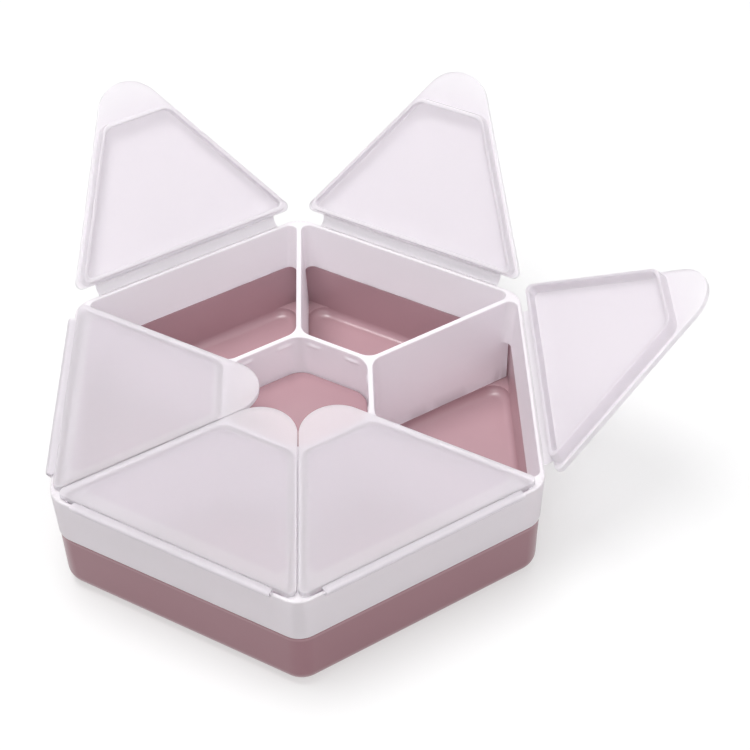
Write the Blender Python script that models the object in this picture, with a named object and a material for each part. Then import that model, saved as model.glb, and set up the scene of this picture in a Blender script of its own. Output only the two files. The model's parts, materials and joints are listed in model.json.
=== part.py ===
"""Six-compartment hexagonal organiser: an opaque base tray, a frosted compartment frame that lifts off it,
and six lids on thin moulded hinge webs. Metres, +Z up, origin at the centre of the underside.

Each compartment is one sixth of the hexagon. In a sixth's own frame x points out from the middle to its
side, y runs along the side and z is up, and its two radial boundaries lie at 30 degrees on either hand.
"""

from math import cos, pi, radians, sin, tan

import bmesh
import bpy
from mathutils import Matrix, Vector

# overall: apothem means the distance from the middle to a flat side
RIM_APOTHEM = 0.0574  # outer face of the frame at its rim
RIM_HEIGHT = 0.0315
SEAM_HEIGHT = 0.0178  # where the frame's outer wall meets the tray
CORNER_RADIUS = 0.0060  # upright outer corners
GAP = 0.0003  # between pieces that touch

# base tray
TRAY_SETBACK = 0.0002  # tray's outer face behind the frame's at the seam
TRAY_DRAFT = radians(0.3)
TRAY_WALL = 0.0017
TRAY_FLOOR = 0.0022
TRAY_BOTTOM_RADIUS = 0.0045
RIB_HEIGHT = 0.0045  # top of the low ribs that the frame stands on
BOWL_FILLET = 0.0021  # between the floor and the walls of each bowl
BOWL_STEP = 0.0001  # bowl walls inside the wall above the ribs
BOSS_HEIGHT = 0.0195  # raised middle that the frame's hub drops over
BOSS_EDGE = 0.0006

# compartment frame
FRAME_DRAFT = radians(1.0)  # outer face, wider towards the rim
FRAME_WALL = 0.0010  # at the rim
INNER_DRAFT = radians(5.0)  # the wall's inner face, so the wall thickens downwards
DIVIDER_THICKNESS = 0.0013  # at the rim
DIVIDER_DRAFT = radians(2.2)  # each face, thicker towards the foot
HUB_INNER = 0.0171  # apothem of the open hub at the rim
HUB_WALL = 0.0013  # at the rim
HUB_DRAFT = radians(1.0)
HUB_CORNER = 0.0060
WELL_CORNER = 0.0042  # beside the hub, and of the tray's bowls
WALL_CORNER = 0.0020  # where a divider meets the outer wall

# lids and hinges
LID_THICKNESS = 0.0014
LID_SIDE_GAP = 0.0004  # lid edge to the radial boundary
LID_TIP_RADIUS = 0.0092  # finger tab over the hub
LID_CORNER = 0.0016
SKIRT_DEPTH = 0.0028  # ring under the lid that plugs the compartment
SKIRT_WALL = 0.0010
SKIRT_CLEARANCE = 0.0004
HINGE_OUT = 0.0009  # hinge axis outside the rim's outer face
HINGE_UP = 0.0009  # and above the rim's top
HINGE_REACH = 0.0018  # axis to the lid's edge
WEB_LENGTH = 0.0530  # along the side
WEB_THICKNESS = 0.0005
WEB_BULGE = 0.0018
WEB_REACH = 0.00135  # axis to the web's free edge
WEB_ROOT_ANGLE = radians(-104)

# name, direction of its side, opening at rest, all in degrees
LIDS = (
    ("right", 0, 141.0),
    ("back_right", 60, 130.7),
    ("back_left", 120, 133.6),
    ("left", 180, 0.0),
    ("front_left", 240, 0.0),
    ("front_right", 300, 0.0),
)

CORNER_STEPS = 6  # facets round each corner
FILLET_STEPS = 4
CUT_PAST = 0.0010  # how far a cutter runs past the face it opens

HALF_SIXTH = pi / 6
FRAME_BOTTOM = SEAM_HEIGHT + GAP
FRAME_FOOT = RIB_HEIGHT + GAP
HINGE_APOTHEM = RIM_APOTHEM + HINGE_OUT
HINGE_HEIGHT = RIM_HEIGHT + HINGE_UP


def frame_outer(z):
    """Apothem of the frame's outer face."""
    return RIM_APOTHEM - (RIM_HEIGHT - z) * tan(FRAME_DRAFT)


def frame_inner(z):
    return RIM_APOTHEM - FRAME_WALL - (RIM_HEIGHT - z) * tan(INNER_DRAFT)


def tray_outer(z):
    """Apothem of the tray's outer face."""
    return frame_outer(FRAME_BOTTOM) - TRAY_SETBACK - (SEAM_HEIGHT - z) * tan(TRAY_DRAFT)


def tray_inner(z):
    return tray_outer(z) - TRAY_WALL


def hub_inner(z):
    return HUB_INNER + (RIM_HEIGHT - z) * tan(HUB_DRAFT)


def hub_outer(z):
    return HUB_INNER + HUB_WALL + (RIM_HEIGHT - z) * tan(DIVIDER_DRAFT)


def half_divider(z):
    return DIVIDER_THICKNESS / 2 + (RIM_HEIGHT - z) * tan(DIVIDER_DRAFT)


def rounded(corners, radii):
    """A convex outline, anticlockwise, with an arc of CORNER_STEPS facets at each corner."""
    points = []
    count = len(corners)
    for i, (corner, radius) in enumerate(zip(corners, radii)):
        corner = Vector(corner)
        before = (Vector(corners[i - 1]) - corner).normalized()
        after = (Vector(corners[(i + 1) % count]) - corner).normalized()
        half_angle = before.angle(after) / 2
        centre = corner + (before + after).normalized() * (radius / sin(half_angle))
        start = corner + before * (radius / tan(half_angle)) - centre
        turn = pi - 2 * half_angle
        for step in range(CORNER_STEPS + 1):
            points.append(centre + Matrix.Rotation(turn * step / CORNER_STEPS, 2) @ start)
    return points


def hexagon(apothem, corner_radius):
    reach = apothem / cos(HALF_SIXTH)
    corners = [(reach * cos(a), reach * sin(a)) for a in (HALF_SIXTH + i * pi / 3 for i in range(6))]
    return rounded(corners, [corner_radius] * 6)


def sixth(inner, outer, side, inner_radius, outer_radius):
    """One compartment's outline: from apothem inner to outer, its radial faces side off the boundary."""
    def half_width(x):
        return x * tan(HALF_SIXTH) - side / cos(HALF_SIXTH)
    corners = [(outer, -half_width(outer)), (outer, half_width(outer)),
               (inner, half_width(inner)), (inner, -half_width(inner))]
    return rounded(corners, [outer_radius, outer_radius, inner_radius, inner_radius])


def plastic(name, colour, roughness, alpha=1.0):
    material = bpy.data.materials.new(name)
    material.use_nodes = True
    shader = material.node_tree.nodes["Principled BSDF"]
    shader.inputs["Base Color"].default_value = (*colour, 1)
    shader.inputs["Roughness"].default_value = roughness
    shader.inputs["Alpha"].default_value = alpha
    return material


def add_object(name, mesh, material):
    mesh.materials.append(material)
    mesh.shade_smooth()
    mesh.set_sharp_from_angle(angle=radians(30))
    made = bpy.data.objects.new(name, mesh)
    bpy.context.collection.objects.link(made)
    return made


def loft(name, rings, material, turn=0.0):
    """A closed solid through rings of (outline, z), lowest first, turned about +Z."""
    bm = bmesh.new()
    place = Matrix.Rotation(turn, 4, "Z")
    loops = [[bm.verts.new(place @ Vector((p.x, p.y, z))) for p in outline] for outline, z in rings]
    count = len(loops[0])
    for low, high in zip(loops, loops[1:]):
        for i in range(count):
            j = (i + 1) % count
            bm.faces.new((low[i], low[j], high[j], high[i]))
    bm.faces.new(reversed(loops[0]))
    bm.faces.new(loops[-1])
    mesh = bpy.data.meshes.new(name)
    bm.to_mesh(mesh)
    bm.free()
    return add_object(name, mesh, material)


def cut(target, other, operation="DIFFERENCE"):
    """A live Boolean; the other object becomes a hidden helper."""
    other.hide_render = True
    other.display_type = "WIRE"
    modifier = target.modifiers.new(other.name, "BOOLEAN")
    modifier.operation = operation
    modifier.solver = "EXACT"
    modifier.object = other


def make_tray(material):
    radius = TRAY_BOTTOM_RADIUS
    rings = []
    for step in range(FILLET_STEPS + 1):
        angle = (pi / 2) * step / FILLET_STEPS
        z = radius * (1 - sin(angle))
        inset = radius * (1 - cos(angle))
        rings.append((hexagon(tray_outer(z) - inset, CORNER_RADIUS - inset / 2), z))
    rings.reverse()
    rings.append((hexagon(tray_outer(SEAM_HEIGHT), CORNER_RADIUS), SEAM_HEIGHT))
    tray = loft("base_tray", rings, material)

    inner_corner = CORNER_RADIUS - TRAY_WALL
    top = SEAM_HEIGHT + CUT_PAST
    well = loft("tray_well_cutter", [(hexagon(tray_inner(RIB_HEIGHT), inner_corner), RIB_HEIGHT),
                                     (hexagon(tray_inner(top), inner_corner), top)], material)
    cut(tray, well)
    for name, side, _ in LIDS:
        cut(tray, make_bowl_cutter("bowl_cutter_" + name, radians(side), material))

    boss = loft("boss_helper", [(hexagon(hub_inner(z) - GAP - inset, HUB_CORNER - GAP), z) for z, inset in
                                ((TRAY_FLOOR / 2, 0), (BOSS_HEIGHT - BOSS_EDGE, 0),
                                 (BOSS_HEIGHT, BOSS_EDGE))], material)
    cut(tray, boss, "UNION")
    return tray


def make_bowl_cutter(name, turn, material):
    """One bowl between two ribs: a rounded floor that rises to the foot of the frame."""
    side = half_divider(FRAME_FOOT)
    inner = hub_outer(FRAME_FOOT)
    rings = []
    for step in range(FILLET_STEPS + 1):
        angle = (pi / 2) * step / FILLET_STEPS
        inset = BOWL_FILLET * (1 - sin(angle))
        z = TRAY_FLOOR + BOWL_FILLET * (1 - cos(angle))
        outer = tray_inner(z) - BOWL_STEP
        radius = WELL_CORNER - inset / 2
        rings.append((sixth(inner + inset, outer - inset, side + inset, radius, radius), z))
    top = RIB_HEIGHT + CUT_PAST
    rings.append((sixth(inner, tray_inner(RIB_HEIGHT) - BOWL_STEP, side, WELL_CORNER, WELL_CORNER), top))
    return loft(name, rings, material, turn)


def make_frame(material):
    band = loft("compartment_frame", [(hexagon(frame_outer(z), CORNER_RADIUS), z)
                                      for z in (FRAME_BOTTOM, RIM_HEIGHT)], material)
    inner_corner = CORNER_RADIUS - TRAY_WALL - GAP
    inside_tray = loft("divider_helper", [(hexagon(tray_inner(z) - GAP, inner_corner), z)
                                          for z in (FRAME_FOOT, SEAM_HEIGHT)], material)
    joined = loft("divider_joint_helper", [(hexagon(tray_inner(SEAM_HEIGHT) - 2 * GAP, inner_corner), z)
                                           for z in (SEAM_HEIGHT - CUT_PAST, FRAME_BOTTOM + CUT_PAST)],
                  material)
    cut(band, inside_tray, "UNION")
    cut(band, joined, "UNION")
    for name, side, _ in LIDS:
        cut(band, make_well_cutter("well_cutter_" + name, radians(side), material))
    hub = loft("hub_cutter", [(hexagon(hub_inner(z), HUB_CORNER), z)
                              for z in (FRAME_FOOT - CUT_PAST, RIM_HEIGHT + CUT_PAST)], material)
    cut(band, hub)
    return band


def make_well_cutter(name, turn, material):
    """One open compartment: inside the outer wall above the seam, and past the dividers' ends below it."""
    low = FRAME_FOOT - CUT_PAST
    top = RIM_HEIGHT + CUT_PAST
    past = tray_outer(SEAM_HEIGHT)
    step_low, step_high = SEAM_HEIGHT + GAP / 4, SEAM_HEIGHT + GAP * 3 / 4  # between the tray's rim and the band
    rings = []
    for z, outer in ((low, past), (step_low, past), (step_high, frame_inner(step_high)),
                     (top, frame_inner(top))):
        rings.append((sixth(hub_outer(z), outer, half_divider(z), WELL_CORNER, WALL_CORNER), z))
    return loft(name, rings, material, turn)


def make_lid(name, side, opening, material):
    """A plate with a finger tab and a plug skirt, modelled shut about its hinge axis and then swung open."""
    turn = radians(side)
    low = RIM_HEIGHT + GAP - HINGE_HEIGHT
    edge = HINGE_APOTHEM - HINGE_REACH
    half_edge = edge * tan(HALF_SIXTH) - LID_SIDE_GAP / cos(HALF_SIXTH)
    tip = LID_SIDE_GAP / sin(HALF_SIXTH)
    outline = rounded([(edge, -half_edge), (edge, half_edge), (tip, 0.0)],
                      [LID_CORNER, LID_CORNER, LID_TIP_RADIUS])
    shift = Vector((-HINGE_APOTHEM, 0.0))
    plate = loft("lid_" + name, [([p + shift for p in outline], z) for z in (low, low + LID_THICKNESS)],
                 material)

    clear = SKIRT_CLEARANCE
    inner, outer = hub_outer(RIM_HEIGHT) + clear, frame_inner(RIM_HEIGHT) - clear
    skirt_side = half_divider(RIM_HEIGHT) + clear
    draft = SKIRT_DEPTH * tan(INNER_DRAFT)
    bottom, embedded = low - SKIRT_DEPTH - GAP, low + LID_THICKNESS / 2

    def skirt(offset, taper):
        outline = sixth(inner + offset + taper, outer - offset - taper, skirt_side + offset + taper,
                        WELL_CORNER - clear - offset / 2, WALL_CORNER - clear - offset / 2)
        return [p + shift for p in outline]

    ring = loft("skirt_helper_" + name, [(skirt(0, draft), bottom), (skirt(0, 0), embedded)], material)
    hollow = loft("skirt_hollow_" + name, [(skirt(SKIRT_WALL, draft), bottom - CUT_PAST),
                                           (skirt(SKIRT_WALL, 0), low)], material)
    cut(ring, hollow)
    cut(plate, ring, "UNION")
    hinge = bpy.data.objects.new("hinge_axis_" + name, None)
    bpy.context.collection.objects.link(hinge)
    hinge.location = (HINGE_APOTHEM * cos(turn), HINGE_APOTHEM * sin(turn), HINGE_HEIGHT)
    hinge.rotation_euler = (0, radians(opening), turn)
    for piece in (plate, ring, hollow):
        piece.parent = hinge


def make_web(name, side, opening, material):
    """The thin strip between rim and lid: a curve from beside the rim to the lid's edge, given thickness."""
    axis = Vector((HINGE_APOTHEM, HINGE_HEIGHT))
    end_angle = pi - radians(opening)
    middle_angle = (WEB_ROOT_ANGLE + end_angle) / 2
    root = axis + WEB_REACH * 0.85 * Vector((cos(WEB_ROOT_ANGLE), sin(WEB_ROOT_ANGLE)))
    middle = axis + WEB_BULGE * Vector((cos(middle_angle), sin(middle_angle)))
    end = axis + WEB_REACH * Vector((cos(end_angle), sin(end_angle)))
    steps = 8
    outer, inner = [], []
    for i in range(steps + 1):
        t = i / steps
        point = (1 - t) ** 2 * root + 2 * t * (1 - t) * middle + t ** 2 * end
        along = (2 * (1 - t) * (middle - root) + 2 * t * (end - middle)).normalized()
        across = Vector((along.y, -along.x)) * (WEB_THICKNESS / 2)
        outer.append(point + across)
        inner.append(point - across)
    profile = outer + inner[::-1]
    bm = bmesh.new()
    place = Matrix.Rotation(radians(side), 4, "Z")
    ends = [[bm.verts.new(place @ Vector((p.x, y, p.y))) for p in profile]
            for y in (-WEB_LENGTH / 2, WEB_LENGTH / 2)]
    count = len(profile)
    for i in range(count):
        j = (i + 1) % count
        bm.faces.new((ends[0][i], ends[0][j], ends[1][j], ends[1][i]))
    bm.faces.new(reversed(ends[0]))
    bm.faces.new(ends[1])
    bmesh.ops.recalc_face_normals(bm, faces=bm.faces)
    mesh = bpy.data.meshes.new("hinge_web_" + name)
    bm.to_mesh(mesh)
    bm.free()
    add_object("hinge_web_" + name, mesh, material)


def main():
    for old in list(bpy.data.objects):
        bpy.data.objects.remove(old)
    mauve = plastic("mauve_plastic", (0.31, 0.155, 0.175), 0.25)
    frosted = plastic("frosted_plastic", (0.82, 0.80, 0.83), 0.45, 0.75)
    make_tray(mauve)
    make_frame(frosted)
    for name, side, opening in LIDS:
        make_lid(name, side, opening, frosted)
        make_web(name, side, opening, frosted)


main()
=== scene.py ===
import json

import bmesh
import bpy
import numpy as np
from mathutils import Matrix, Vector


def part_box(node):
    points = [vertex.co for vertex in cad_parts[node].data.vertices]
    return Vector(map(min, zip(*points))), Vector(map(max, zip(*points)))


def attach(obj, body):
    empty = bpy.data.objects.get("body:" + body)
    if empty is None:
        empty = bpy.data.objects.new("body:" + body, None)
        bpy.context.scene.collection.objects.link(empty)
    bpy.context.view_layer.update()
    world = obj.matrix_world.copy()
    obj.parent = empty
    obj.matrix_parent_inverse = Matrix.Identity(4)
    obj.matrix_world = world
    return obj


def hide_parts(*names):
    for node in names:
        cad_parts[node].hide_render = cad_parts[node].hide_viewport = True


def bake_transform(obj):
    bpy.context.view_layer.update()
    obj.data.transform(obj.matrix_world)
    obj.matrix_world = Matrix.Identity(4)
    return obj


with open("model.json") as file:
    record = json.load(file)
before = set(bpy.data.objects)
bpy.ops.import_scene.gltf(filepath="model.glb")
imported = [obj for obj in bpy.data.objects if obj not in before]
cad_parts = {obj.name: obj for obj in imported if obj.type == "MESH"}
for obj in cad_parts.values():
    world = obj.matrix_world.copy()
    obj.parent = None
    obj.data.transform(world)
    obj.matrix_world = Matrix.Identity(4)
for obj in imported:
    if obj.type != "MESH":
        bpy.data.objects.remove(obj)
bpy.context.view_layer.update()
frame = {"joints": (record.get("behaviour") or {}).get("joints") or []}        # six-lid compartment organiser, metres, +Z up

# Every outline below is in millimetres, in one compartment's own frame: x runs out from the middle to its
# side, y along the side, and the two dividers lie on the lines at +30 and -30 degrees.

frameLow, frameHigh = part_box("compartment_frame")
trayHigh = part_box("base_tray")[1]

body = {
    "rimApothem": frameHigh.x * 1000,   # middle to a flat side, at the rim
    "rimHeight": frameHigh.z * 1000,
    "footHeight": frameLow.z * 1000,    # where the dividers stand on the ribs
    "bossHeight": trayHigh.z * 1000,
    "seamHeight": 17.8,
    "gap": 0.3,
    "cornerRadius": 6.0,
}

sides = {"right": 0, "back_right": 60, "back_left": 120, "left": 180, "front_left": 240, "front_right": 300}

# how finely each run of a compartment's outline is divided
steps = {"side": 12, "outerCorner": 16, "cornerStraight": 2, "cornerArc": 8, "divider": 14,
         "innerCorner": 8, "toHub": 4, "hub": 16, "flare": 7, "blade": 9, "foot": 3}

tan30 = np.tan(np.pi / 6)
cos30 = np.cos(np.pi / 6)
alongDivider = np.array([cos30, 0.5])
offDivider = np.array([0.5, -cos30])


def tanOf(degrees):
    return np.tan(np.radians(degrees))


def straight(start, end, count):
    # start plus even shares of the way to end
    share = np.linspace(0, 1, count + 1)[:, None]
    return np.asarray(start) * (1 - share) + np.asarray(end) * share


def arc(centre, radius, fromDegrees, toDegrees, count):
    # centre plus radius times (cosine, sine) of evenly spaced angles
    angle = np.radians(np.linspace(fromDegrees, toDegrees, count + 1))
    return np.asarray(centre) + radius * np.stack([np.cos(angle), np.sin(angle)], -1)


def chain(*runs):
    # runs that share their end points, as one
    return np.concatenate([runs[0]] + [run[1:] for run in runs[1:]])


def mirrored(half):
    # the same points with y turned over, in the same order
    return half * np.array([1.0, -1.0])


def wholeLoop(half):
    # out along the half and back along its mirror image
    return np.concatenate([half, mirrored(half)[-2:0:-1]])


def hubRun(half):
    # from one divider round the hub side to the other
    return np.concatenate([mirrored(half), half[-2::-1]])


def sideRun(half):
    # from one corner along the outer side to the other
    return np.concatenate([mirrored(half)[:0:-1], half])


def atHeight(outline, z):
    return np.column_stack([outline, np.full(len(outline), z)])


def turned(points, degrees):
    # turned about the upright axis: x cos - y sin, x sin + y cos
    c, s = np.cos(np.radians(degrees)), np.sin(np.radians(degrees))
    x, y, z = points[..., 0], points[..., 1], points[..., 2]
    return np.stack([x * c - y * s, x * s + y * c, z], -1)


def allRound(points):
    # six turned copies in one closed row, each without the corner that it shares with the next
    return np.concatenate([turned(points[:, :-1], degrees) for degrees in sides.values()], 1)


def quarter(count):
    # (sine, 1 - cosine) pairs that carry a rounded edge through a right angle
    angle = np.linspace(0, np.pi / 2, count + 1)
    return np.stack([np.sin(angle), 1 - np.cos(angle)], -1)


class Surface:
    # gathers grids of points and turns them into one closed mesh; edges that meet are welded

    def __init__(self):
        self.points, self.faces, self.marks, self.within, self.count = [], [], [], [], 0

    def add(self, grid, closed=False, mark=0.0, inside=0.0):
        # neighbouring rows and columns of the grid share four-sided faces
        rows, columns = grid.shape[:2]
        index = np.arange(rows * columns).reshape(rows, columns) + self.count
        if closed:
            index = np.concatenate([index, index[:, :1]], 1)
        corners = [index[:-1, :-1], index[:-1, 1:], index[1:, 1:], index[1:, :-1]]
        self.points.append(grid.reshape(-1, 3))
        self.faces.append(np.stack(corners, -1).reshape(-1, 4))
        for kept, values in ((self.marks, mark), (self.within, inside)):
            kept.append(np.broadcast_to(np.asarray(values, float).reshape(-1, 1), (rows, columns)).ravel())
        self.count += rows * columns

    def around(self, grid, closed=False, mark=0.0, inside=0.0):
        for degrees in sides.values():
            self.add(turned(grid, degrees), closed, mark, inside)

    def both(self, grid, mark=0.0, inside=0.0):
        # on either hand of each compartment
        self.around(grid, mark=mark, inside=inside)
        self.around(grid * np.array([1.0, -1.0, 1.0]), mark=mark, inside=inside)

    def make(self, name, material, place=None):
        points = np.concatenate(self.points)
        if place is not None:
            points = place(points)
        mesh = bpy.data.meshes.new(name)
        mesh.from_pydata(points * 0.001, [], np.concatenate(self.faces))
        for attribute, values in (("edge", self.marks), ("inside", self.within)):
            kept = mesh.attributes.new(attribute, "FLOAT", "POINT")
            kept.data.foreach_set("value", np.concatenate(values).astype(np.float32))
        welded = bmesh.new()
        welded.from_mesh(mesh)
        bmesh.ops.remove_doubles(welded, verts=welded.verts, dist=2e-6)
        bmesh.ops.dissolve_degenerate(welded, edges=welded.edges, dist=1e-7)
        bmesh.ops.recalc_face_normals(welded, faces=welded.faces)
        openEdges = sum(1 for edge in welded.edges if len(edge.link_faces) != 2)
        welded.to_mesh(mesh)
        welded.free()
        mesh.materials.append(material)
        mesh.shade_smooth()
        mesh.set_sharp_from_angle(angle=np.radians(50))
        piece = bpy.data.objects.new(name, mesh)
        bpy.context.scene.collection.objects.link(piece)
        weighted = piece.modifiers.new("flatFaces", "WEIGHTED_NORMAL")
        weighted.keep_sharp = True
        print(f"{name}: {len(mesh.polygons)} faces, {openEdges} open edges")
        return piece


# ---- heights to widths, as the moulding's drafts give them

framing = {
    "outerDraft": 1.0,
    "innerDraft": 5.0,     # the wall thickens downwards
    "wall": 1.0,
    "divider": 1.3,
    "dividerDraft": 2.2,
    "hubInner": 17.1,
    "hubWall": 1.3,
    "hubDraft": 1.0,
    "hubCorner": 6.0,
    "wellCorner": 4.2,    # beside the hub
    "wallCorner": 2.0,    # beside the outer wall
    "edge": 0.28,         # rounding of the rim
    "bead": 0.35,          # how far the catch beads stand out
    "beadHeight": 29.2,
    "beadAside": 5.4,     # from the middle of each hub side
    "beadHalfLength": 2.1,
    "beadHalfHeight": 0.75,
}


def frameOuter(z):
    return body["rimApothem"] - (body["rimHeight"] - z) * tanOf(framing["outerDraft"])


def frameInner(z):
    return body["rimApothem"] - framing["wall"] - (body["rimHeight"] - z) * tanOf(framing["innerDraft"])


def hubInner(z):
    return framing["hubInner"] + (body["rimHeight"] - z) * tanOf(framing["hubDraft"])


def hubOuter(z):
    return framing["hubInner"] + framing["hubWall"] + (body["rimHeight"] - z) * tanOf(framing["dividerDraft"])


def halfDivider(z):
    return framing["divider"] / 2 + (body["rimHeight"] - z) * tanOf(framing["dividerDraft"])


tray = {
    "setback": 0.2,
    "draft": 0.3,
    "wall": 1.7,
    "floor": 2.2,
    "bottomRadius": 4.5,
    "ribHeight": 4.5,
    "bowlFillet": 2.1,
    "bowlCorner": 4.2,
    "rimOuterEdge": 0.5,
    "rimInnerEdge": 0.3,
    "bossEdge": 0.7,
}


def trayOuter(z):
    base = frameOuter(body["seamHeight"] + body["gap"]) - tray["setback"]
    return base - (body["seamHeight"] - z) * tanOf(tray["draft"])


def trayInner(z):
    return trayOuter(z) - tray["wall"]


def wellHalf(inner, outer, side, radius, outerRadius):
    # half of a compartment's outline: its outer side, a rounded corner that turns through 120 degrees, the
    # divider's face, a corner that turns through 60, and the hub's side
    outerCentre = (outer - outerRadius, outer * tan30 - side / cos30 - outerRadius / tan30)
    innerCentre = (inner + radius, inner * tan30 - side / cos30 - radius * tan30)
    corner = arc(outerCentre, outerRadius, 0, 120, steps["outerCorner"])
    turn = arc(innerCentre, radius, 120, 180, steps["innerCorner"])
    return chain(straight((outer, 0), corner[0], steps["side"]), corner,
                 straight(corner[-1], turn[0], steps["divider"]), turn,
                 straight(turn[-1], (inner, 0), steps["hub"]))


# where the runs of that outline start
atCorner = steps["side"]
atDivider = atCorner + steps["outerCorner"]
atTurn = atDivider + steps["divider"]
atOuterVertex = atCorner + steps["cornerStraight"] + steps["cornerArc"]
atHubVertex = atTurn + steps["toHub"]


def cellHalf(outer, outerRadius, hub, hubRadius, well):
    # half of the cell round a compartment, point for point beside its outline: the hexagon's side, half of
    # its rounded corner, the middle line of the divider, and half of the hub's hexagon
    outerCentre = np.array([outer - outerRadius, (outer - outerRadius) * tan30])
    hubCentre = np.array([hub - hubRadius, (hub - hubRadius) * tan30])
    start = (outer, well[atCorner][1])
    corner = arc(outerCentre, outerRadius, 0, 30, steps["cornerArc"])
    nearWell = alongDivider * (well[atDivider] @ alongDivider)
    nearTurn = alongDivider * (well[atTurn] @ alongDivider)
    hubArc = arc(hubCentre, hubRadius, 30, 0, steps["innerCorner"] - steps["toHub"])
    toWell = steps["outerCorner"] - steps["cornerStraight"] - steps["cornerArc"]
    return chain(straight((outer, 0), start, steps["side"]),
                 straight(start, corner[0], steps["cornerStraight"]), corner,
                 straight(corner[-1], nearWell, toWell), straight(nearWell, nearTurn, steps["divider"]),
                 straight(nearTurn, hubArc[0], steps["toHub"]), hubArc,
                 straight(hubArc[-1], (hub, 0), steps["hub"]))


# ---- materials

class Value:
    # a number that varies over a surface; adding or multiplying it adds Math nodes

    def __init__(self, tree, socket=None):
        self.tree, self.socket = tree, socket

    def make(self, kind, settings, inputs, output=0):
        node = self.tree.nodes.new(kind)
        for name, value in settings.items():
            setattr(node, name, value)
        for key, value in inputs.items():
            if isinstance(value, Value):
                self.tree.links.new(value.socket, node.inputs[key])
            else:
                node.inputs[key].default_value = value
        return Value(self.tree, node.outputs[output])

    def maths(self, operation, first, second):
        return self.make("ShaderNodeMath", {"operation": operation}, {0: first, 1: second})

    def __add__(self, other):
        return self.maths("ADD", self, other)

    def __radd__(self, other):
        return self.maths("ADD", other, self)

    def __sub__(self, other):
        return self.maths("SUBTRACT", self, other)

    def __rsub__(self, other):
        return self.maths("SUBTRACT", other, self)

    def __mul__(self, other):
        return self.maths("MULTIPLY", self, other)

    def __rmul__(self, other):
        return self.maths("MULTIPLY", other, self)


def newMaterial(name, colour):
    material = bpy.data.materials.new(name)
    material.use_nodes = True
    material.diffuse_color = (*colour, 1)
    shader = material.node_tree.nodes["Principled BSDF"]
    return material, material.node_tree, shader


def mixColours(kit, factor, first, second):
    return kit.make("ShaderNodeMix", {"data_type": "RGBA"}, {0: factor, 6: first, 7: second}, 2)


mauve = {
    "outsideColour": (0.25, 0.098, 0.124),
    "rimHighlightColour": (0.55, 0.36, 0.39),      # painted highlight along the rim's rounded edges
    "rimHighlightShare": 0.35,
    "cloudColour": (0.2, 0.07, 0.09),      # faint cloudiness of the moulding
    "cloudShare": 0.12,
    "cloudSwing": 0.25,
    "cloudScale": 38.0,
    # painted light: faces marked inside take this lighter, whiter copy of the mauve, standing in for the light
    # inside the tray
    "insidePaintedLightColour": (0.50, 0.322, 0.353),
    "roughness": 0.32,
    "coat": 0.35,
    "coatRoughness": 0.14,
    "grain": 2600.0,       # fine moulded texture, per metre
    "grainDepth": 0.000006,
    "grainStrength": 0.12,
    "grainRoughness": 0.05,
    "cloudRoughness": 0.08,
}


def mauvePlastic():
    material, tree, shader = newMaterial("mauvePlastic", mauve["outsideColour"])
    kit = Value(tree)
    place = kit.make("ShaderNodeTexCoord", {}, {}, 3)
    cloud = kit.make("ShaderNodeTexNoise", {}, {"Vector": place, "Scale": mauve["cloudScale"], "Detail": 3.0})
    grain = kit.make("ShaderNodeTexNoise", {}, {"Vector": place, "Scale": mauve["grain"], "Detail": 2.0})
    inside = kit.make("ShaderNodeAttribute", {"attribute_name": "inside"}, {}, 2)
    edge = kit.make("ShaderNodeAttribute", {"attribute_name": "edge"}, {}, 2)
    # painted light: faces marked inside are mixed towards the lighter copy of the mauve
    plain = mixColours(kit, inside, (*mauve["outsideColour"], 1), (*mauve["insidePaintedLightColour"], 1))
    # painted highlight: the marked rounded edges of the rim are mixed towards a lighter mauve
    rimHighlighted = mixColours(kit, edge * mauve["rimHighlightShare"], plain, (*mauve["rimHighlightColour"], 1))
    cloudy = (cloud - 0.5) * mauve["cloudSwing"] + mauve["cloudShare"]
    colour = mixColours(kit, cloudy, rimHighlighted, (*mauve["cloudColour"], 1))
    rough = (mauve["roughness"] + (grain - 0.5) * mauve["grainRoughness"]
             + (cloud - 0.5) * mauve["cloudRoughness"])
    bump = kit.make("ShaderNodeBump", {}, {"Strength": mauve["grainStrength"],
                                           "Distance": mauve["grainDepth"], "Height": grain})
    tree.links.new(colour.socket, shader.inputs["Base Color"])
    tree.links.new(rough.socket, shader.inputs["Roughness"])
    tree.links.new(bump.socket, shader.inputs["Normal"])
    shader.inputs["IOR"].default_value = 1.49
    shader.inputs["Coat Weight"].default_value = mauve["coat"]
    shader.inputs["Coat Roughness"].default_value = mauve["coatRoughness"]
    return material


frosted = {
    # painted light: the walls' compartment faces get a lighter colour than their outer faces
    "wallInsidePaintedLightColour": (0.90, 0.872, 0.903),
    "outsideColour": (0.84, 0.80, 0.832),
    "lidColour": (0.88, 0.835, 0.882),
    "edgeColour": (0.97, 0.96, 0.975),
    "wallEdgeShare": 0.15,
    "lidEdgeShare": 0.5,
    "cloudScale": 55.0,
    "roughness": 0.42,
    "lidTransmission": 0.6,
    "wallTransmission": 0.32,
    "ior": 1.2,
    "grain": 2200.0,
    "grainDepth": 0.000008,
    "grainStrength": 0.5,
    "grainRoughness": 0.12,
    "cloudRoughness": 0.06,
    "innerGlow": (0.078, 0.07, 0.077),    # painted glow: emission that stands in for light scattered inside the wall, seen on the compartments' side
}


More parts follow.
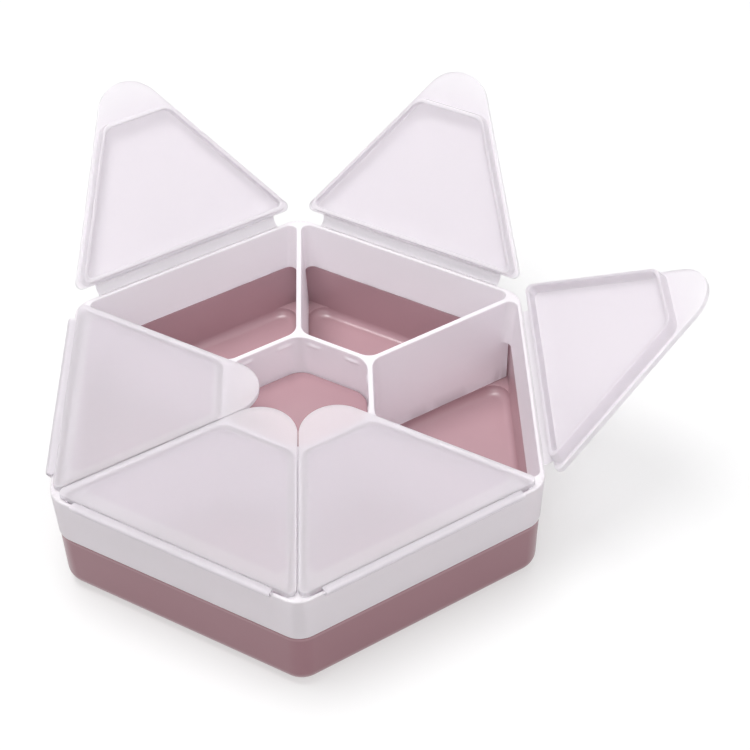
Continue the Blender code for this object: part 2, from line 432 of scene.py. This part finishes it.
def frostedPlastic(name, outer, inner, transmission, edgeShare):
    material, tree, shader = newMaterial(name, outer)
    kit = Value(tree)
    place = kit.make("ShaderNodeTexCoord", {}, {}, 3)
    cloud = kit.make("ShaderNodeTexNoise", {}, {"Vector": place, "Scale": frosted["cloudScale"],
                                                "Detail": 3.0})
    grain = kit.make("ShaderNodeTexNoise", {}, {"Vector": place, "Scale": frosted["grain"], "Detail": 2.0})
    rough = (frosted["roughness"] + (grain - 0.5) * frosted["grainRoughness"]
             + (cloud - 0.5) * frosted["cloudRoughness"])
    bump = kit.make("ShaderNodeBump", {}, {"Strength": frosted["grainStrength"],
                                           "Distance": frosted["grainDepth"], "Height": grain})
    edge = kit.make("ShaderNodeAttribute", {"attribute_name": "edge"}, {}, 2)
    inside = kit.make("ShaderNodeAttribute", {"attribute_name": "inside"}, {}, 2)
    # faces marked inside take the inner colour, which for the walls is painted lighter as painted light
    plain = mixColours(kit, inside, (*outer, 1), (*inner, 1))
    # painted highlight: whiter along the marked rounded rims and the bright lower edge at the seam; the same
    # mix gives the lids their paler border and the hinge strips their pale band
    colour = mixColours(kit, edge * (edgeShare + cloud * 0.2), plain, (*frosted["edgeColour"], 1))
    # painted glow on the faces marked inside: emission, though the walls are no lamp
    glow = mixColours(kit, inside, (0, 0, 0, 1), (*frosted["innerGlow"], 1))
    tree.links.new(colour.socket, shader.inputs["Base Color"])
    tree.links.new(rough.socket, shader.inputs["Roughness"])
    tree.links.new(bump.socket, shader.inputs["Normal"])
    tree.links.new(glow.socket, shader.inputs["Emission Color"])
    shader.inputs["Emission Strength"].default_value = 1.0
    shader.inputs["Transmission Weight"].default_value = transmission
    shader.inputs["IOR"].default_value = frosted["ior"]
    return material


mauveMaterial = mauvePlastic()
wallMaterial = frostedPlastic("frostedWall", frosted["outsideColour"], frosted["wallInsidePaintedLightColour"],
                              frosted["wallTransmission"], frosted["wallEdgeShare"])
lidMaterial = frostedPlastic("frostedLid", frosted["lidColour"], frosted["lidColour"],
                             frosted["lidTransmission"], frosted["lidEdgeShare"])
print("materials made")


def buildFrame():
    top, foot = body["rimHeight"], body["footHeight"]
    seam = body["seamHeight"] + body["gap"]
    edge = framing["edge"]
    surface = Surface()

    def well(z, grow=0.0):
        return wellHalf(hubOuter(z) - grow, frameInner(z) + grow, halfDivider(z) - grow,
                        framing["wellCorner"] + grow, framing["wallCorner"] + grow)

    def cell(z, shrink, beside):
        return cellHalf(frameOuter(z) - shrink, body["cornerRadius"] - shrink, hubInner(z) + shrink,
                        framing["hubCorner"] + shrink, beside)

    # rim, then down the inside of each compartment to the seam
    wellTop = well(top, edge)
    rimEdge = cell(top, edge, wellTop)
    rows = [atHeight(wholeLoop(rimEdge), top), atHeight(wholeLoop((rimEdge + wellTop) / 2), top),
            atHeight(wholeLoop(wellTop), top)]
    # marked rows take a painted highlight: the rim's rounding here, and the bright lower edge at the seam
    # below
    marks = [1.0, 1.0, 1.0]
    for across, down in quarter(4)[1:]:
        rows.append(atHeight(wholeLoop(well(top - edge * down, edge * (1 - across))), top - edge * down))
        marks.append(1.0)
    for z, mark in ((top - 0.6, 0.4), (top - 1.2, 0), (25, 0), (seam + 0.5, 0), (seam, 0.5)):
        rows.append(atHeight(wholeLoop(well(z)), z))
        marks.append(mark)
    surface.around(np.stack(rows), closed=True, mark=marks, inside=1.0)

    # outer face, from the rim to the seam
    skin = [(rimEdge, top, 1.0)]
    for across, down in quarter(4)[1:]:
        z = top - edge * down
        skin.append((cell(z, edge * (1 - across), wellTop), z, 1.0))
    for z, mark in ((top - 0.6, 0.4), (27, 0.0), (22, 0.0), (seam + 0.6, 0.0), (seam + 0.25, 0.8)):
        skin.append((cell(z, 0, wellTop), z, mark))
    for across, down in quarter(3)[1:]:
        skin.append((cell(seam, 0.2 * down, wellTop), seam + 0.2 * (1 - across), 1.0))
    wall = np.stack([atHeight(sideRun(half[:atOuterVertex + 1]), z) for half, z, _ in skin])
    surface.add(allRound(wall), closed=True, mark=[mark for *_, mark in skin])

    # hub's inner face, with the small beads that the lids' tabs snap past
    hubHeights = [(top - edge * down, edge * (1 - across), 1.0) for across, down in quarter(4)]
    hubHeights += [(z, 0, 0.0) for z in np.linspace(30.7, 27.7, 13)] + [(z, 0, 0.0) for z in (24, 17, 11)]
    hubHeights.append((foot, 0, 0.0))
    rows = []
    for z, shrink, mark in hubHeights:
        rows.append(atHeight(hubRun(cell(z, shrink, wellTop)[atHubVertex:]), z))
    hub = np.stack(rows)
    aside = np.abs(np.abs(hub[..., 1]) - framing["beadAside"]) / framing["beadHalfLength"]
    reach = np.clip(1 - aside ** 4, 0, 1)
    rise = np.clip(1 - ((hub[..., 2] - framing["beadHeight"]) / framing["beadHalfHeight"]) ** 2, 0, 1)
    hub[..., 0] -= framing["bead"] * reach * rise
    surface.add(allRound(hub), closed=True, mark=[mark for *_, mark in hubHeights], inside=1.0)

    # below the seam: dividers and hub, open on the outer side
    heights = [seam, 13, 9, foot]
    lower = np.stack([atHeight(hubRun(well(z)[atDivider:]), z) for z in heights])
    surface.around(lower, inside=1.0)

    def bladeEnd(z):
        # the divider's end, a short arc inside the tray's rounded corner, from its face to its middle line
        apothem = trayInner(z) - body["gap"]
        radius = body["cornerRadius"] - tray["wall"] - body["gap"]
        aside = np.linspace(halfDivider(z), 0, steps["foot"] + 1)[:, None]
        along = (apothem - radius) / cos30 + np.sqrt(radius ** 2 - aside ** 2)
        return alongDivider * along + offDivider * aside

    faces = [atHeight(straight(bladeEnd(z)[0], well(z)[atDivider], steps["blade"]), z) for z in heights]
    surface.both(np.stack(faces), inside=1.0)
    surface.both(np.stack([atHeight(bladeEnd(z), z) for z in heights]), inside=1.0)

    # feet
    wellFoot = well(foot)
    footCell = cell(foot, 0, wellTop)
    nearWell = alongDivider * (wellFoot[atDivider] @ alongDivider)
    nearTurn = alongDivider * (wellFoot[atTurn] @ alongDivider)
    middle = chain(straight(nearWell, nearTurn, steps["divider"]),
                   straight(nearTurn, footCell[atHubVertex], steps["toHub"]), footCell[atHubVertex:])
    inner, outer = hubRun(wellFoot[atDivider:]), hubRun(middle)
    share = np.linspace(0, 1, steps["foot"] + 1)[:, None, None]
    surface.around(np.dstack([inner * (1 - share) + outer * share,
                              np.full((steps["foot"] + 1, len(inner), 1), foot)]))
    end = bladeEnd(foot)
    face = straight(end[0], wellFoot[atDivider], steps["blade"])
    centre = straight(end[-1], nearWell, steps["blade"])
    patch = face * (1 - share) + centre * share
    patch[:, 0] = end
    surface.both(np.dstack([patch, np.full(patch.shape[:2] + (1,), foot)]))

    # underside of the outer wall at the seam
    wellSeam = well(seam)
    end = bladeEnd(seam)
    flare = straight(wellSeam[atCorner], end[0], steps["flare"])
    inside = chain(wellSeam[:atCorner + 1], flare, end)
    outside = skin[-1][0][:atOuterVertex + 1]
    # the marks paint a bright line along the seam's lower edge: a painted highlight
    surface.both(np.stack([atHeight(inside, seam), atHeight(outside, seam)]), mark=[0.5, 1.0])
    cusp = chain(flare, straight(end[0], wellSeam[atDivider], steps["blade"]))
    corner = wellSeam[atCorner:atDivider + 1]
    surface.both(np.stack([atHeight(cusp, seam), atHeight(corner, seam)]), inside=1.0)

    piece = surface.make("compartmentFrame", wallMaterial)
    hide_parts("compartment_frame")
    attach(piece, "frame")


def buildTray():
    surface = Surface()
    rib, floor, fillet = tray["ribHeight"], tray["floor"], tray["bowlFillet"]
    seam, edge = body["seamHeight"], 0.3
    inner, side = hubOuter(body["footHeight"]), halfDivider(body["footHeight"])
    corner = body["cornerRadius"] - tray["wall"]

    def bowl(z, inset=0.0, grow=0.0):
        return wellHalf(inner + inset - grow, trayInner(z) - inset, side + inset - grow,
                        framing["wellCorner"] - inset / 2 + grow / 2,
                        tray["bowlCorner"] - inset / 2 + grow / 2)

    # bowls: floor, rounded foot, wall and the rib's rounded top
    outline = wholeLoop(bowl(floor, fillet))
    middle = outline.mean(0)
    rows = [atHeight(middle + (outline - middle) * share, floor) for share in (0, 0.35, 0.7, 0.93, 1)]
    for across, down in quarter(10)[1:]:
        z = floor + fillet * down
        rows.append(atHeight(wholeLoop(bowl(z, fillet * (1 - across))), z))
    for across, down in quarter(4):
        z = rib - edge * (1 - across)
        rows.append(atHeight(wholeLoop(bowl(z, 0, edge * down)), z))
    wellTop = bowl(rib, 0, edge)
    boss = hubInner(rib) - body["gap"]
    cell = cellHalf(trayInner(rib), corner, boss, framing["hubCorner"] - body["gap"], wellTop)
    rows.append(atHeight(wholeLoop(cell), rib))
    surface.around(np.stack(rows), closed=True, inside=1.0)

    # inside wall, rim, outside wall and the rounded bottom edge
    def ring(apothem, radius, z):
        half = cellHalf(apothem, radius, boss, framing["hubCorner"] - body["gap"], wellTop)
        return atHeight(sideRun(half[:atOuterVertex + 1]), z)

    small, large = tray["rimInnerEdge"], tray["rimOuterEdge"]
    rows = [ring(trayInner(z), corner, z) for z in (rib, 8.5, 13, seam - small)]
    marks = [0, 0, 0, 0]
    # the rim's rounded edges are marked, and the material paints a highlight on them
    for across, down in quarter(3)[1:]:
        rows.append(ring(trayInner(seam) + small * down, corner + small * down, seam - small * (1 - across)))
        marks.append(1)
    for across, down in quarter(5):
        inset = large * (1 - across)
        rows.append(ring(trayOuter(seam) - inset, body["cornerRadius"] - inset / 2, seam - large * down))
        marks.append(1)
    radius = tray["bottomRadius"]
    for z in (seam - 1.2, 13, 9, radius):
        rows.append(ring(trayOuter(z), body["cornerRadius"], z))
        marks.append(0)
    for across, down in quarter(8)[1:]:
        z = radius * (1 - across)
        rows.append(ring(trayOuter(z) - radius * down, body["cornerRadius"] - radius * down / 2, z))
        marks.append(0)
    base = rows[-1]
    for share in (0.97, 0.6, 0):
        rows.append(base * np.array([share, share, 1.0]))
        marks.append(0)
    # the inner wall and inner rim rows are marked inside, so the material paints them lighter as painted light
    within = [1] * 6 + [0] * (len(rows) - 6)
    surface.add(allRound(np.stack(rows)), closed=True, mark=marks, inside=within)

    # raised middle
    high, soft = body["bossHeight"], tray["bossEdge"]

    def middleRing(z, inset):
        half = cellHalf(trayInner(rib), corner, hubInner(z) - body["gap"] - inset,
                        framing["hubCorner"] - body["gap"] - inset / 2, wellTop)
        return atHeight(hubRun(half[atHubVertex:]), z)

    rows = [middleRing(z, 0) for z in (rib, 12, high - soft - 0.6, high - soft)]
    for across, down in quarter(5)[1:]:
        rows.append(middleRing(high - soft * (1 - across), soft * down))
    for share in (0.93, 0.5, 0):
        rows.append(rows[8] * np.array([share, share, 1.0]))
    # the raised middle takes mostly the painted lighter inside colour
    surface.add(allRound(np.stack(rows)), closed=True, inside=0.8)

    piece = surface.make("baseTray", mauveMaterial)
    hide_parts("base_tray")
    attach(piece, "base")


joints = {joint["child"]: joint for joint in frame["joints"]}

lid = {
    "thickness": 1.4,
    "sideGap": 0.14,
    "tipRadius": 9.2,
    "corner": 1.6,
    "topEdge": 0.3,
    "underEdge": 0.2,
    "skirtDepth": 3.1,     # below the plate
    "skirtWall": 1.0,
    "clearance": 0.4,
    "fillet": 0.2,
    "hingeReach": 1.8,     # hinge axis to the plate's edge
    "border": {"hub": 2.2, "hinge": 3.4, "side": 1.5},
}


def hingeOf(name):
    # the hinge line's distance from the middle, its height, and how far the lid stands open
    joint = joints["lid_" + name]
    x, y, z = (value * 1000 for value in joint["pos_m"])
    return np.hypot(x, y), z, max(0.0, -joint["range_deg"][0])


def swung(points, name):
    # a lid's own frame has the hinge line as its y axis: the points are turned open about it, moved out and
    # turned to their side
    apothem, height, opening = hingeOf(name)
    c, s = np.cos(np.radians(opening)), np.sin(np.radians(opening))
    x, y, z = points[..., 0], points[..., 1], points[..., 2]
    moved = np.stack([x * c + z * s + apothem, y, z * c - x * s + height], -1)
    return turned(moved, sides[name])


def buildLid(name):
    apothem, height, opening = hingeOf(name)
    shift = np.array([-apothem, 0.0])
    low = body["rimHeight"] + body["gap"] - height
    high = low + lid["thickness"]
    reach = apothem - lid["hingeReach"]
    rimTop = body["rimHeight"]

    def plate(inset=0.0):
        # a triangle with two small corners at the hinge and one wide finger tab
        side = lid["sideGap"] + inset
        radius = lid["corner"] - inset
        edge = reach - inset
        centre = (edge - radius, edge * tan30 - side / cos30 - radius / tan30)
        corner = arc(centre, radius, 0, 120, steps["outerCorner"])
        tab = arc((2 * (lid["sideGap"] + lid["tipRadius"]), 0), lid["tipRadius"] - inset, 120, 180,
                  steps["innerCorner"] + steps["hub"])
        return wholeLoop(chain(straight((edge, 0), corner[0], steps["side"]), corner,
                               straight(corner[-1], tab[0], steps["divider"]), tab)) + shift

    def skirt(inset=0.0):
        clear = lid["clearance"]
        return wholeLoop(wellHalf(hubOuter(rimTop) + clear + inset, frameInner(rimTop) - clear - inset,
                                  halfDivider(rimTop) + clear + inset,
                                  max(1.0, framing["wellCorner"] - clear - inset / 2),
                                  max(0.6, framing["wallCorner"] - clear - inset / 2))) + shift

    def panel(inset=0.0):
        # the thinner field inside the whitish border, which is widest along the hinge
        border = lid["border"]
        return wholeLoop(wellHalf(hubOuter(rimTop) + border["hub"] + inset,
                                  frameInner(rimTop) - border["hinge"] - inset,
                                  halfDivider(rimTop) + border["side"] + inset, 3.0 - inset / 2,
                                  2.0 - inset / 2)) + shift

    middle = skirt(8).mean(0)
    edge, under, fillet, wall = lid["topEdge"], lid["underEdge"], lid["fillet"], lid["skirtWall"]
    taper = lid["skirtDepth"] * tanOf(framing["innerDraft"])
    rows, marks = [], []

    def row(outline, z, mark=0.0):
        rows.append(atHeight(outline, z))
        marks.append(mark)

    row(np.broadcast_to(middle, (len(skirt()), 2)), high)
    row(skirt(8), high)
    row(panel(2.4), high)
    row(panel(0.9), high)
    row(panel(0.3), high, 0.35)
    row(panel(-0.3), high, 0.8)
    row(plate(edge + 0.2), high, 0.9)
    for across, down in quarter(4):
        row(plate(edge * (1 - across)), high - edge * down, 1.0)
    for across, down in quarter(4)[::-1]:
        row(plate(under * (1 - across)), low + under * down, 1.0)
    for across, down in quarter(4):
        row(skirt(-fillet * (1 - across)), low - fillet * down, 0.1)
    deep = low - lid["skirtDepth"]
    row(skirt(taper), deep + 0.3, 0.1)
    for across, down in quarter(3)[1:]:
        row(skirt(taper + 0.3 * down), deep + 0.3 * (1 - across), 0.3)
    for across, down in quarter(3)[::-1]:
        row(skirt(wall + taper - 0.3 * down), deep + 0.3 * (1 - across), 0.3)
    for across, down in quarter(4)[::-1]:
        row(skirt(wall + fillet * (1 - across)), low - fillet * down, 0.1)
    row(skirt(wall + fillet + 0.4), low)
    row(skirt(8), low)
    row(np.broadcast_to(middle, (len(skirt()), 2)), low)

    surface = Surface()
    surface.add(np.stack(rows), closed=True, mark=marks)
    nodeName = "lid_" + name
    piece = surface.make("lid_" + name + "_moulding", lidMaterial, lambda points: swung(points, name))
    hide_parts(nodeName)
    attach(piece, nodeName)


web = {
    "length": 53.0,
    "thickness": 0.5,
    "bulge": 1.8,
    "reach": 1.35,
    "rootAngle": -104.0,
    "rootShare": 0.85,           # the root's distance from the hinge line, as a share of the reach
    "rootShift": (-0.45, -0.1),  # into the rim's outer face
    "endExtra": 0.55,            # past the reach, under the lid's edge
    "endSwell": 0.5,             # how much thicker the strip is where it joins, as a share
    "fade": 0.6,                 # length over which each end thins out
}


def buildWeb(name):
    # a thin strip along the hinge: its section follows the curve
    # B(t) = (1-t)^2 root + 2t(1-t) bulge + t^2 end about the hinge line, offset by half its thickness each way
    apothem, height, opening = hingeOf(name)
    rootAngle, endAngle = np.radians(web["rootAngle"]), np.pi - np.radians(opening)
    middleAngle = (rootAngle + endAngle) / 2

    def spoke(radius, angle):
        return radius * np.array([np.cos(angle), np.sin(angle)])

    # the root lies on the rim's outer face, the far end just under the lid's edge
    root = spoke(web["reach"] * web["rootShare"], rootAngle) + np.array(web["rootShift"])
    bulge = spoke(web["bulge"], middleAngle)
    end = spoke(web["reach"] + web["endExtra"], endAngle)
    t = np.linspace(0, 1, 19)[:, None]
    line = (1 - t) ** 2 * root + 2 * t * (1 - t) * bulge + t ** 2 * end
    along = 2 * (1 - t) * (bulge - root) + 2 * t * (end - bulge)
    along /= np.linalg.norm(along, axis=1)[:, None]
    across = np.stack([along[:, 1], -along[:, 0]], -1)
    half = web["thickness"] / 2 * (1 + web["endSwell"] * (2 * t - 1) ** 4)
    section = np.concatenate([line + across * half, (line - across * half)[::-1]])
    y = web["length"] / 2 * np.sin(np.linspace(-np.pi / 2, np.pi / 2, 25))
    past = np.clip((np.abs(y) - web["length"] / 2 + web["fade"]) / web["fade"], 0, 1)
    shrink = 1 - 0.7 * past ** 2
    centre = np.concatenate([line, line[::-1]])
    ring = centre[None] + (section - centre)[None] * shrink[:, None, None]
    rows = np.dstack([ring[..., 0], np.broadcast_to(y[:, None], ring.shape[:2]), ring[..., 1]])
    first = np.dstack([centre[None, :, 0], np.full((1, len(centre)), y[0]), centre[None, :, 1]])
    last = np.dstack([centre[None, :, 0], np.full((1, len(centre)), y[-1]), centre[None, :, 1]])
    rows = np.concatenate([first, rows, last])
    surface = Surface()
    surface.add(rows, closed=True, mark=0.7)

    def place(points):
        x, y, z = points[:, 0], points[:, 1], points[:, 2]
        return turned(np.stack([x + apothem, y, z + height], -1), sides[name])

    piece = surface.make("hinge_" + name, lidMaterial, place)
    start = place(np.array([[root[0], 0, root[1]]]))[0] * 0.001
    finish = place(np.array([[end[0], 0, end[1]]]))[0] * 0.001
    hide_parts("hinge_web_" + name)
    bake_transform(piece)


buildTray()
buildFrame()
for sideName in sides:
    buildLid(sideName)
    buildWeb(sideName)
print("object made")

# ---- floor, light and camera

studio = {
    "floorSize": 6.0,
    "floorColour": (0.42, 0.42, 0.42),
    "floorCloud": (0.43, 0.43, 0.43),
    "floorDrop": 0.04,       # millimetres below the tray, so that the two faces don't meet
    "floorGlow": 0.5,
    "worldStrength": 0.35,
    "keyLight": {"place": (-0.2, 0.05, 1.3), "size": 0.7, "power": 12.5},
    "fillLight": {"place": (0.8, -0.3, 0.8), "size": 1.2, "power": 2.0},
    "frontLight": {"place": (-0.15, -0.9, 0.95), "size": 1.0, "power": 4.0},
    "backLight": {"place": (0.1, 0.9, 0.75), "size": 1.0, "power": 1.5},
    "lookAt": (0, 0, 0.02),
}


def buildFloor():
    half = studio["floorSize"] / 2
    x, y = np.meshgrid(np.linspace(-half, half, 25), np.linspace(-half, half, 25))
    surface = Surface()
    surface.add(np.dstack([x * 1000, y * 1000, np.full_like(x, -studio["floorDrop"])]))
    material, tree, shader = newMaterial("paleFloor", studio["floorColour"])
    kit = Value(tree)
    place = kit.make("ShaderNodeTexCoord", {}, {}, 3)
    cloud = kit.make("ShaderNodeTexNoise", {}, {"Vector": place, "Scale": 3.0, "Detail": 2.0})
    colour = mixColours(kit, cloud, (*studio["floorColour"], 1), (*studio["floorCloud"], 1))
    tree.links.new(colour.socket, shader.inputs["Base Color"])
    shader.inputs["Roughness"].default_value = 0.9
    shader.inputs["Specular IOR Level"].default_value = 0.0
    shader.inputs["Emission Color"].default_value = (1, 1, 1, 1)
    shader.inputs["Emission Strength"].default_value = studio["floorGlow"]
    floor = surface.make("floor", material)
    floor.modifiers.clear()


def softLight(name):
    place, size, power = (studio[name][key] for key in ("place", "size", "power"))
    data = bpy.data.lights.new(name, "AREA")
    data.shape, data.size, data.energy = "DISK", size, power
    lamp = bpy.data.objects.new(name, data)
    bpy.context.scene.collection.objects.link(lamp)
    lamp.location = place
    lamp.rotation_mode = "QUATERNION"
    lamp.rotation_quaternion = (Vector(studio["lookAt"]) - Vector(place)).to_track_quat("-Z", "Y")


view = {"place": (0.0119632, -0.2867857, 0.3184345), "yaw": -1.365, "elevation": 44.5647, "roll": -0.5256,
        "lens": 79.49}


def buildCamera():
    yaw, elevation, roll = (np.radians(view[key]) for key in ("yaw", "elevation", "roll"))
    back = np.array([np.sin(yaw) * np.cos(elevation), -np.cos(yaw) * np.cos(elevation), np.sin(elevation)])
    right = np.cross(-back, (0, 0, 1))
    right /= np.linalg.norm(right)
    up = np.cross(back, right)
    across = right * np.cos(roll) + up * np.sin(roll)
    above = up * np.cos(roll) - right * np.sin(roll)
    data = bpy.data.cameras.new("camera")
    data.lens, data.sensor_width, data.sensor_fit = view["lens"], 36.0, "HORIZONTAL"
    data.clip_start, data.clip_end = 0.01, 50
    camera = bpy.data.objects.new("camera", data)
    bpy.context.scene.collection.objects.link(camera)
    turn = Matrix(np.column_stack([across, above, back]).tolist()).to_4x4()
    camera.matrix_world = Matrix.Translation(view["place"]) @ turn
    bpy.context.scene.camera = camera


buildFloor()
for lightName in ("keyLight", "fillLight", "frontLight", "backLight"):
    softLight(lightName)
buildCamera()

world = bpy.data.worlds.new("softStudio")
world.use_nodes = True
world.node_tree.nodes["Background"].inputs["Color"].default_value = (1, 1, 1, 1)
world.node_tree.nodes["Background"].inputs["Strength"].default_value = studio["worldStrength"]
scene = bpy.context.scene
scene.world = world
scene.view_settings.view_transform = "Standard"
scene.cycles.transparent_max_bounces = 32
scene.cycles.transmission_bounces = 24
scene.cycles.max_bounces = 24
print("floor, light and camera made")
